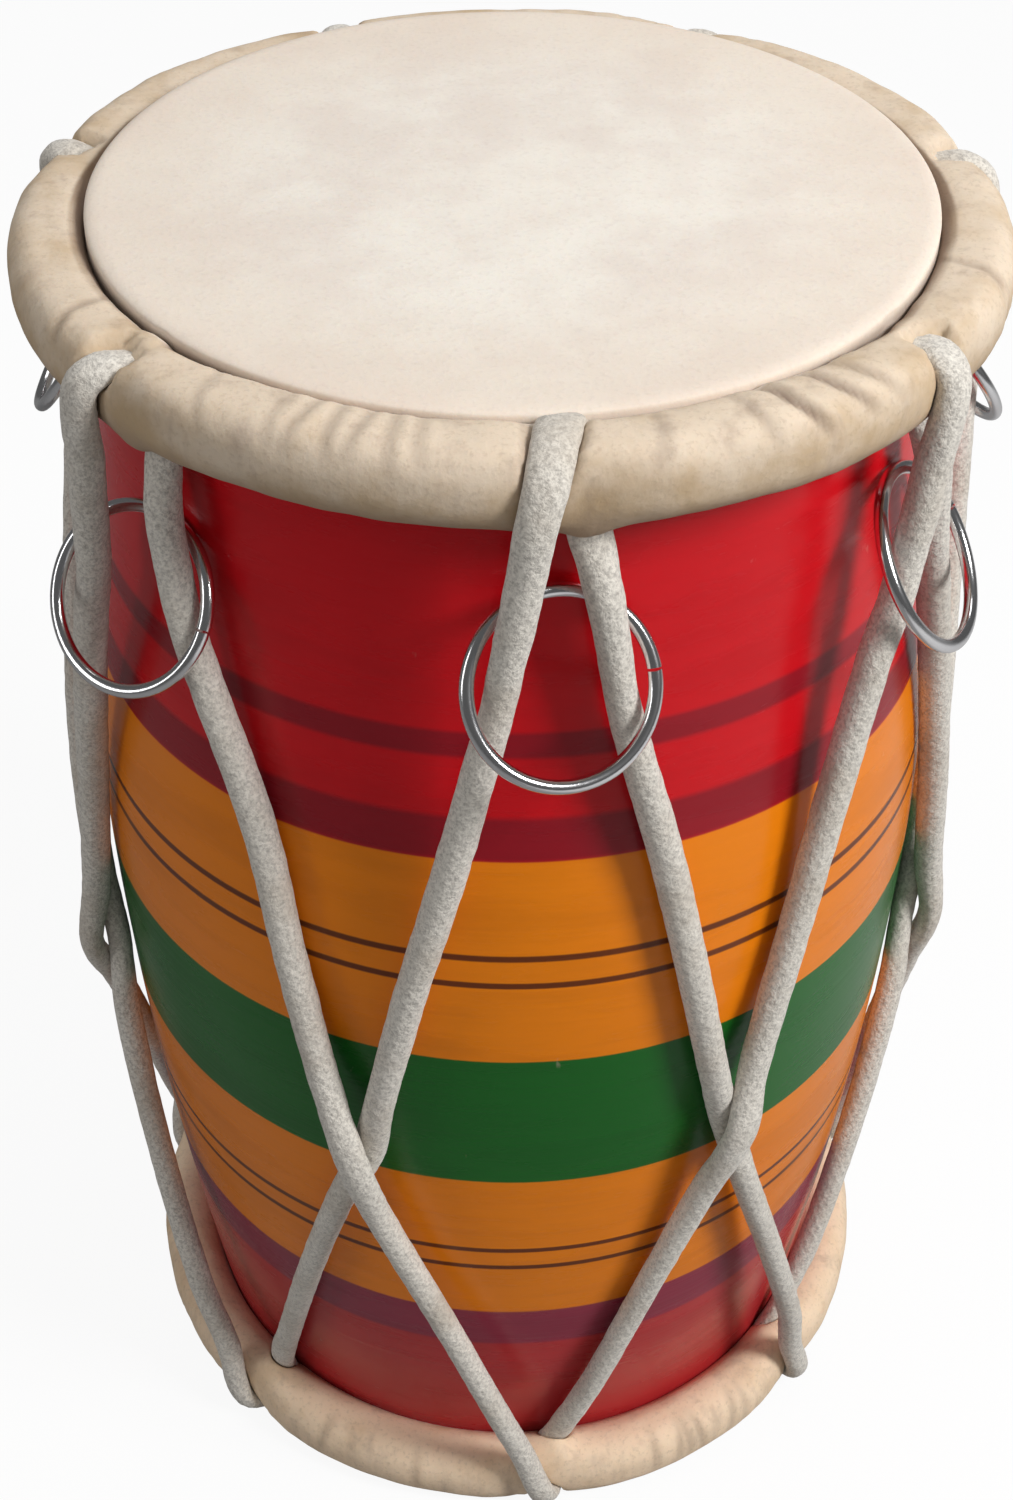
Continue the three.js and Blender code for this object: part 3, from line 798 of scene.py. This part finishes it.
for cut in (RING_BUTT, -RING_BUTT):
    select_near_butt(RING_RADIUS * 0.2)
    bpy.ops.object.mode_set(mode="EDIT")
    bpy.ops.mesh.select_mode(type="FACE")
    bpy.ops.mesh.bisect(plane_co=(0, cut, 0), plane_no=(0, 1, 0), clear_inner=False)
    bpy.ops.object.mode_set(mode="OBJECT")
select_near_butt(RING_BUTT)
bpy.ops.object.mode_set(mode="EDIT")
bpy.ops.mesh.delete(type="FACE")
bpy.ops.mesh.select_mode(type="EDGE")
bpy.ops.mesh.select_non_manifold(extend=False)
bpy.ops.mesh.fill_holes(sides=0)
leave_edit()
bpy.ops.object.shade_smooth_by_angle(angle=math.radians(50))
print("ring faces:", len(ring_pattern.data.polygons))

# %% Hang the rings
rings = []
for index, (lacing, turn, rise) in enumerate(zip(BASS_LACINGS, RING_TURNS, RING_RAISES), start=1):
    ring = ring_pattern.copy()
    ring.data = ring_pattern.data.copy()
    ring.name = f"wire_ring_{index}"
    scene.collection.objects.link(ring)
    azimuth = lacing + turn
    height = HEIGHT - RING_DEPTH + rise * MM
    place = on_azimuth(BASS_RADIUS + RING_STANDOFF, azimuth, height)
    hang = (Matrix.Translation(place)
            @ Matrix.Rotation(math.radians(azimuth + RING_YAW), 4, "Z")
            @ Matrix.Rotation(math.radians(90 - RING_LEAN), 4, "X"))
    ring.data.transform(hang)
    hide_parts(f"tuning_ring_{index}")
    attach(ring, f"ring_{index}")
    rings.append(ring)
bpy.data.objects.remove(ring_pattern)


# %% [markdown]
# ## Writing finishes as expressions
#
# A material is a tree of nodes. To write its sums as sums, a small class wraps one socket and
# gives it Python's operators, each of which adds a Math node. Every other node comes from one
# method that is given its type, its settings and its inputs.

# %% Expression class
def maths(operation):
    """A method that adds a Math node for its own term and the other values."""
    def add_node(*values):
        return values[0].finish.node("ShaderNodeMath", {"operation": operation}, values)
    return add_node


class Term:
    """One output socket of a finish, with arithmetic."""

    def __init__(self, finish, socket):
        self.finish = finish
        self.socket = socket

    def __rsub__(self, other):
        return self.finish.node("ShaderNodeMath", {"operation": "SUBTRACT"}, (other, self))

    __add__ = __radd__ = maths("ADD")
    __sub__ = maths("SUBTRACT")
    __mul__ = __rmul__ = maths("MULTIPLY")
    __pow__ = maths("POWER")
    sine = maths("SINE")
    size = maths("ABSOLUTE")
    most = maths("MAXIMUM")


class Finish:
    """A material or a world under construction, with its shader at hand."""

    def __init__(self, name, kept_in=bpy.data.materials):
        self.material = kept_in.new(name)
        self.material.use_nodes = True
        self.tree = self.material.node_tree
        self.shader = next(n for n in self.tree.nodes if not n.type.startswith("OUTPUT"))

    def node(self, kind, settings=None, values=(), output=0):
        """Adds a node: settings first, then values or links by place or by name."""
        node = self.tree.nodes.new(kind)
        for key, value in (settings or {}).items():
            setattr(node, key, value)
        pairs = values.items() if isinstance(values, dict) else enumerate(values)
        for key, value in pairs:
            self.join(node.inputs[key], value)
        return Term(self, node.outputs[output])

    def join(self, socket, value):
        """Links a term to a socket, or sets the socket's own value."""
        if isinstance(value, Term):
            self.tree.links.new(value.socket, socket)
        elif value is not None:
            socket.default_value = value

    def set(self, **values):
        """Sets the shader's sockets, named with underscores for spaces."""
        for key, value in values.items():
            self.join(self.shader.inputs[key.replace("_", " ")], value)

    def place(self):
        """Object coordinates and their X, Y and Z."""
        place = self.node("ShaderNodeTexCoord", output="Object")
        axes = [self.node("ShaderNodeSeparateXYZ", values=[place], output=i) for i in range(3)]
        return place, *axes

    def scaled(self, place, scale):
        """A place with its axes scaled, so that what is drawn on it is stretched."""
        return self.node("ShaderNodeMapping", values={"Vector": place, "Scale": scale})

    def grain(self, place, scale, detail=4.0, rough=0.5):
        """Smooth noise between 0 and 1."""
        return self.node("ShaderNodeTexNoise", values={
            "Vector": place, "Scale": scale, "Detail": detail, "Roughness": rough})

    def step(self, value, low, high):
        """0 below low, 1 above high and smooth between."""
        return self.node("ShaderNodeMapRange", {"interpolation_type": "SMOOTHSTEP"}, {
            "Value": value, "From Min": low, "From Max": high})

    def band(self, value, low, high, soft):
        """1 between low and high."""
        return self.step(value, low - soft, low + soft) * (1 - self.step(value, high - soft,
                                                                         high + soft))

    def blend(self, share, first, second, how="MIX"):
        """Mixes two colours by a share."""
        return self.node("ShaderNodeMix", {"data_type": "RGBA", "blend_type": how},
                         {0: share, 6: first, 7: second}, 2)

    def bump(self, height, distance, strength):
        """Fine relief from a height."""
        normal = self.node("ShaderNodeBump", values={
            "Height": height, "Distance": distance, "Strength": strength})
        self.set(Normal=normal)

    def show(self, shader):
        """Makes a shader the one that is seen."""
        end = next(n for n in self.tree.nodes if n.type.startswith("OUTPUT"))
        self.tree.links.new(shader.socket, end.inputs["Surface"])

    def give(self, *pieces):
        """Makes this the only material of some pieces."""
        for piece in pieces:
            piece.data.materials.clear()
            piece.data.materials.append(self.material)


def colour(*levels):
    """A colour as seen on screen, 0 to 255, in the light's own measure."""
    parts = [level / 255 for level in levels]
    return (*(p / 12.92 if p <= 0.04045 else ((p + 0.055) / 1.055) ** 2.4 for p in parts), 1.0)


# %% [markdown]
# ## Lacquered paint
#
# The shell spins on a lathe while lac colour is pressed on it, so every band is a ring of one
# height. The bands are found from the height alone, with edges that wander by a fraction of a
# millimetre. The lac is glossy, with faint turning lines, thin and thick places, and scuffs.

# %% Paint the shell
paint = Finish("painted_bands")
spot, _, _, spot_z = paint.place()
wander = (paint.grain(spot, 14, 2) - 0.5) * (1.2 * MM)
below = HEIGHT - spot_z + wander

RED = colour(204, 13, 25)
MAROON = colour(146, 18, 32)
ORANGE = colour(236, 130, 8)
GREEN = colour(22, 98, 30)
PURPLE = colour(146, 46, 68)
LOW_RED = colour(186, 44, 48)
LINE = colour(70, 24, 16)
THICK_LAC = colour(60, 10, 14)
SCUFFED = colour(226, 190, 176)
SOFT_EDGE = 0.25 * MM
# Depths in mm: where each maroon stripe starts and ends and how soft it is, where each colour
# begins to take over and has taken over, and the middles of the thin lines.
STRIPES = [(63.5, 68.9, 0.7), (81.8, 91.4, 0.9)]
BANDS = [(91.2, 91.7, ORANGE), (142.2, 142.7, GREEN), (181.1, 181.6, ORANGE), (231.2, 232, PURPLE),
         (245, 246.4, LOW_RED)]
LINES = [114.1, 121, 206.5, 213]
LINE_HALF = 0.75

tone = RED
for start, end, soft in STRIPES:
    tone = paint.blend(paint.band(below, start * MM, end * MM, soft * MM), tone, MAROON)
for start, end, band_tone in BANDS:
    tone = paint.blend(paint.step(below, start * MM, end * MM), tone, band_tone)
for middle in LINES:
    line = paint.band(below, (middle - LINE_HALF) * MM, (middle + LINE_HALF) * MM, SOFT_EDGE)
    tone = paint.blend(line * 0.9, tone, LINE)

thick_places = paint.grain(paint.scaled(spot, (1, 1, 5)), 22, 5, 0.6)
tone = paint.blend((thick_places - 0.45) * 0.5, tone, THICK_LAC, "MULTIPLY")
turning = paint.grain(paint.scaled(spot, (0.6, 0.6, 40)), 18, 3, 0.55)
scuffs = paint.step(paint.grain(paint.scaled(spot, (1, 1, 0.5)), 210, 3, 0.7), 0.72, 0.78)
tone = paint.blend(scuffs * 0.22, tone, SCUFFED)
paint.set(Base_Color=tone, Roughness=0.2 + thick_places * 0.14 + scuffs * 0.25,
          Coat_Weight=0.1, Coat_Roughness=0.15, Specular_IOR_Level=0.2)
paint.bump(turning * 0.5 + thick_places * 0.6, 0.3 * MM, 0.55)
paint.give(shell)

# %% [markdown]
# ## Dried hide
#
# The membrane is pale scraped hide, cloudy and faintly speckled. The roll is the same skin with
# its grain on, tanned in patches. Painted shade, with some stain, darkens its underside, painted
# shade darkens its folds, and the crease is browner with dirt and painted shade. The foot's roll
# has lighter colours, painted light for the light it lacks. The places are told apart by how far
# they are from the axis and from the head's face, and the folds by their attribute.

# %% Colour the skins
MEMBRANE = colour(236, 229, 218)
CLOUD = colour(226, 215, 204)
RIMWARD = colour(228, 210, 192)
ROLL = colour(222, 204, 182)
TAN = colour(192, 166, 132)
# The foot's roll has a lighter copy of the roll's colours, painted light for the light it lacks.
LOW_ROLL_PAINTED_LIGHT = colour(242, 216, 186)
LOW_TAN_PAINTED_LIGHT = colour(216, 184, 146)
# The streak colour marks random streaks, and also the painted shade under the roll.
STREAK_AND_UNDERSIDE_SHADE = colour(164, 142, 126)
FOLD_SHADE = colour(128, 106, 92)
CREASE_DIRT_AND_SHADE = colour(104, 72, 46)
SPECK = colour(198, 182, 172)
ROLL_SPECK = colour(172, 150, 126)
LIGHT_SEEPS = (4 * MM, 2.5 * MM, 1.5 * MM)


def hide_finish(name, radius, top, roll, tan_stain_and_shade, underside_shade_and_stain):
    """Hide for one head. The last value darkens the roll's underside: stain and painted shade."""
    hide = Finish(name)
    spot, x, y, z = hide.place()
    away = (x * x + y * y) ** 0.5
    depth = (z - top).size()
    clouds = hide.grain(spot, 38, 5, 0.62)
    specks = hide.step(hide.grain(spot, 900, 3, 0.7), 0.5, 0.72)
    tone = hide.blend(hide.step(clouds, 0.35, 0.7), MEMBRANE, CLOUD)
    tone = hide.blend(hide.step(away, radius * 0.45, radius) * 0.6, tone, RIMWARD)
    tone = hide.blend(specks * 0.22, tone, SPECK)
    rolled = hide.step(away, radius - 0.5 * MM, radius + 0.8 * MM)
    patches = hide.grain(spot, 55, 4, 0.6)
    # Tan patches at random are stain. The tan that grows with depth towards the roll's underside is
    # painted shade, partly stain.
    roll_tone = hide.blend(hide.step(patches + depth * (26 * underside_shade_and_stain), 0.48, 0.9), roll, tan_stain_and_shade)
    streaks = hide.step(hide.grain(hide.scaled(spot, (1, 1, 0.2)), 150, 4, 0.6), 0.5, 0.75)
    roll_tone = hide.blend(streaks * 0.4, roll_tone, STREAK_AND_UNDERSIDE_SHADE)
    roll_tone = hide.blend(specks * 0.3, roll_tone, ROLL_SPECK)
    # Painted shade darkens the valleys of the folds, more in some patches than others.
    fold = hide.node("ShaderNodeAttribute", {"attribute_name": "fold"}, output="Fac")
    roll_tone = hide.blend(fold * (0.35 + patches), roll_tone, FOLD_SHADE)
    # Painted shade: the roll's underside is darkened with depth.
    roll_tone = hide.blend(hide.step(depth, 8 * MM, 15 * MM) * (0.5 * underside_shade_and_stain), roll_tone, STREAK_AND_UNDERSIDE_SHADE)
    tone = hide.blend(rolled, tone, roll_tone)
    # The crease is darkened brown: partly dirt, partly painted shade in the gap under the roll.
    crease = hide.band(away, radius - 1.4 * MM, radius + 1.6 * MM, 0.5 * MM)
    crease = crease * hide.step(depth, 1 * MM, 3 * MM) * (1 - hide.step(depth, 9 * MM, 11 * MM))
    tone = hide.blend(crease * 0.75, tone, CREASE_DIRT_AND_SHADE)
    pores = hide.grain(spot, 900, 2, 0.6)
    hide.set(Base_Color=tone, Roughness=0.7 + patches * 0.2, Specular_IOR_Level=0.25,
             Subsurface_Weight=0.12, Subsurface_Radius=LIGHT_SEEPS, Subsurface_Scale=0.5)
    hide.bump(pores * 0.5 + clouds * 1.2 + hide.grain(spot, 160, 4, 0.6) * (0.4 + rolled),
              0.28 * MM, 0.6)
    return hide


hide_finish("bass_hide", BASS_RADIUS, HEIGHT, ROLL, TAN, 1.0).give(bass_skin)
hide_finish("treble_hide", TREBLE_RADIUS, 0, LOW_ROLL_PAINTED_LIGHT, LOW_TAN_PAINTED_LIGHT, 0.1).give(treble_skin)

# %% [markdown]
# ## Cotton braid
#
# The cord is soft braided cotton, off-white with grey yarns that show as specks. Its braid is two
# sets of strands that wind round it in opposite ways. They are worked out from the UV map, so that
# they follow the cord round every bend.

# %% Colour the cord
cotton = Finish("cotton_braid")
uv = cotton.node("ShaderNodeUVMap", {"uv_map": "along"})
way_round, way_along = (cotton.node("ShaderNodeSeparateXYZ", values=[uv], output=i)
                        for i in (0, 1))
BRAID_YARNS = 6
BRAID_PITCH = 7.5 * MM
YARN = colour(236, 230, 219)
GREY_YARN = colour(180, 174, 166)
SOILED = colour(176, 160, 140)
SHADE_BETWEEN_YARNS = colour(120, 112, 102)

braid_round = way_round * (math.tau * BRAID_YARNS)
braid_along = way_along * (math.tau / BRAID_PITCH * 2)
braid = (braid_round + braid_along).sine().most((braid_round - braid_along).sine())
spot = cotton.place()[0]
yarn_specks = cotton.grain(spot, 1500, 3, 0.7)
soil = cotton.grain(spot, 45, 4, 0.6)
tone = cotton.blend(cotton.step(yarn_specks, 0.36, 0.74), YARN, GREY_YARN)
tone = cotton.blend(cotton.step(soil, 0.45, 0.75) * 0.45, tone, SOILED)
# Painted shade darkens the grooves between the braid's yarns.
tone = cotton.blend((1 - braid) * 0.06, tone, SHADE_BETWEEN_YARNS)
cotton.set(Base_Color=tone, Roughness=0.95, Sheen_Weight=0.25, Sheen_Roughness=0.5)
cotton.bump(braid * 0.15 + yarn_specks * 0.9, 0.5 * MM, 0.8)
cotton.give(cord, knot)

# %% [markdown]
# ## Metal and paste
#
# The rings are bright drawn wire with fine scratches round them. The hoops are dull iron and the
# paste is a black tar mixture. Both are inside, and are finished for whoever opens the model.

# %% Colour the metal and paste
BRIGHT_STEEL = colour(238, 238, 240)
TARNISHED = colour(160, 156, 152)
IRON = colour(92, 90, 88)
RUST = colour(104, 62, 38)
TAR = colour(30, 26, 24)
CRUMB = colour(62, 52, 44)

steel = Finish("steel_wire")
spot = steel.place()[0]
scratches = steel.grain(spot, 1400, 2, 0.6)
tarnish = steel.grain(spot, 120, 4, 0.6)
steel.set(Base_Color=steel.blend(tarnish * 0.3, BRIGHT_STEEL, TARNISHED),
          Metallic=1.0, Roughness=0.1 + tarnish * 0.14)
steel.bump(scratches, 0.02 * MM, 0.5)
steel.give(*rings)

iron = Finish("dull_iron")
rust = iron.grain(iron.place()[0], 180, 5, 0.65)
rusty = iron.step(rust, 0.5, 0.7)
iron.set(Base_Color=iron.blend(rusty, IRON, RUST), Metallic=1 - rusty * 0.8,
         Roughness=0.45 + rust * 0.3)
iron.bump(rust, 0.1 * MM, 0.5)
iron.give(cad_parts["bass_hoop"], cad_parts["treble_hoop"])

paste = Finish("tuning_paste")
crumbs = paste.grain(paste.place()[0], 260, 5, 0.65)
paste.set(Base_Color=paste.blend(crumbs, TAR, CRUMB), Roughness=0.6 + crumbs * 0.3)
paste.bump(crumbs, 0.4 * MM, 0.7)
paste.give(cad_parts["tuning_paste"])

# %% [markdown]
# ## Studio
#
# The drum stands on a pale floor that goes to white, as in the photograph. Most of what the camera
# sees of it is plain white and the rest is lit, so that the drum's soft shadow stays. Other rays
# meet a greyer floor, but its mirror image at the right is part white, for the paint's shine. The
# camera sees the world white, and mirrors see it dark, for the steel's contrast.

# %% Lay the floor
FLOOR_RADIUS = 3.5
FLOOR_RIM = 2.6
FLOOR_WHITE = 0.92
MIRRORED_WHITE = 0.4
GREY_FLOOR = colour(140, 140, 140)
PALE_FLOOR = colour(244, 244, 244)
WHITE = (1, 1, 1, 1)

bpy.ops.mesh.primitive_circle_add(vertices=96, radius=FLOOR_RADIUS, fill_type="NGON",
                                  location=(0, 0, 0))
floor = bpy.context.object
floor.name = "floor"
bpy.ops.object.mode_set(mode="EDIT")
bpy.ops.mesh.inset(thickness=FLOOR_RIM, depth=0)
leave_edit(outward=False)
ground = Finish("pale_floor")
seen = ground.node("ShaderNodeLightPath", output="Is Camera Ray")
mirrored = ground.node("ShaderNodeLightPath", output="Is Glossy Ray")
_, x, y, _ = ground.place()
bright_side = mirrored * ground.step(x, 0.08, 0.22) * MIRRORED_WHITE
ground.set(Base_Color=ground.blend(seen.most(bright_side), GREY_FLOOR, PALE_FLOOR), Roughness=0.9)
glow = ground.node("ShaderNodeEmission", values={"Color": WHITE, "Strength": 1.0})
far_off = ground.step((x * x + y * y) ** 0.5, 0.35, 1.2)
ground.show(ground.node("ShaderNodeMixShader", values=[
    seen * far_off.most(FLOOR_WHITE), Term(ground, ground.shader.outputs[0]), glow]))
ground.give(floor)

# %% Light the drum
WORLD_STRENGTH = 0.3
WORLD_TO_RAYS = {"Is Glossy Ray": 0.1, "Is Camera Ray": 1.0}
DRUM_MIDDLE = (0, 0, HEIGHT / 2)
# Each lamp has its place, its width and height in metres, and its power in watts.
LAMPS = {"key": ((0.88, -0.52, 1.05), 0.35, 0.45, 15),
         "fill": ((-1.1, -0.45, 0.7), 0.3, 0.8, 2),
         "top": ((0.1, 0.5, 1.3), 0.8, 0.5, 3)}

sky = Finish("studio", bpy.data.worlds)
scene.world = sky.material
sky.set(Color=WHITE, Strength=WORLD_STRENGTH)
light = Term(sky, sky.shader.outputs[0])
for ray, strength in WORLD_TO_RAYS.items():
    share = sky.node("ShaderNodeLightPath", output=ray)
    other = sky.node("ShaderNodeBackground", values={"Color": WHITE, "Strength": strength})
    light = sky.node("ShaderNodeMixShader", values=[share, light, other])
sky.show(light)

for name, (place, width, height, power) in LAMPS.items():
    data = bpy.data.lights.new(name, "AREA")
    data.shape = "RECTANGLE"
    data.size = width
    data.size_y = height
    data.energy = power
    lamp = bpy.data.objects.new(name, data)
    lamp.location = place
    to_drum = Vector(DRUM_MIDDLE) - Vector(place)
    lamp.rotation_euler = to_drum.to_track_quat("-Z", "Y").to_euler()
    scene.collection.objects.link(lamp)

scene.view_settings.view_transform = "Standard"
